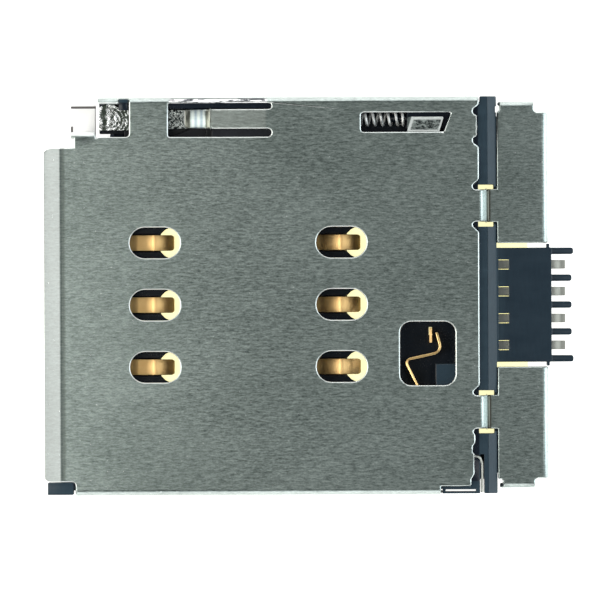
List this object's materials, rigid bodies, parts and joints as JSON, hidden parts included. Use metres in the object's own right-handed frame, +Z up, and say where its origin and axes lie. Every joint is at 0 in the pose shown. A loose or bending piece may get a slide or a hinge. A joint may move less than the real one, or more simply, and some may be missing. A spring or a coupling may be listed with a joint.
{
  "type": "sim card socket",
  "caption": "Push-push SIM card socket for a circuit board: folded steel shell over a black base, spring contacts, card detect switch and a sprung slider with a heart cam.",
  "frame": {"origin": "middle of the bounding box, on the plane of the circuit board that the socket is soldered to", "axes": "+X is the way the card is pushed in, from the mouth to the comb; +Z is up, away from the board; +Y is towards the side with the slider and its spring"},
  "size_m": [0.0218, 0.0162, 0.0016],
  "materials": {
    "shell_steel": "satin stainless sheet with rolling grain along the card's way in",
    "base_plastic": "black moulded high-temperature plastic with a slight blue cast",
    "contact_gold": "gold-plated spring strip, tin-plated at the solder tails",
    "switch_gold": "gold-plated spring strip on edge",
    "blade_gold": "gold-plated fixed strip",
    "slider_plastic": "black moulded plastic",
    "crank_steel": "bright stamped steel",
    "spring_steel": "bright drawn wire"
  },
  "bodies": {
    "socket": {"shell": "shell_steel", "base_housing": "base_plastic", "contact_c1": "contact_gold", "contact_c2": "contact_gold", "contact_c3": "contact_gold", "contact_c5": "contact_gold", "contact_c6": "contact_gold", "contact_c7": "contact_gold", "switch_spring": "switch_gold", "switch_blade": "blade_gold", "eject_spring": "spring_steel"},
    "push_slider": {"slider": "slider_plastic"},
    "crank": {"cam_crank": "crank_steel"}
  },
  "joints": [
    {"name": "slider_push", "type": "slide", "parent": "socket", "child": "push_slider", "axis": [1, 0, 0], "range_m": [0, 0.0026], "stiffness_N_per_m": 60, "deforming": ["eject_spring"]},
    {"name": "crank_swing", "type": "hinge", "parent": "socket", "child": "crank", "pos_m": [-0.00809, 0.00724, 0.0009], "axis": [0, 0, 1], "range_deg": [-17.5, 0]}
  ],
  "couplings": [
    {"joint": "crank_swing", "follows": "slider_push", "rad_per_m": -114.12}
  ]
}
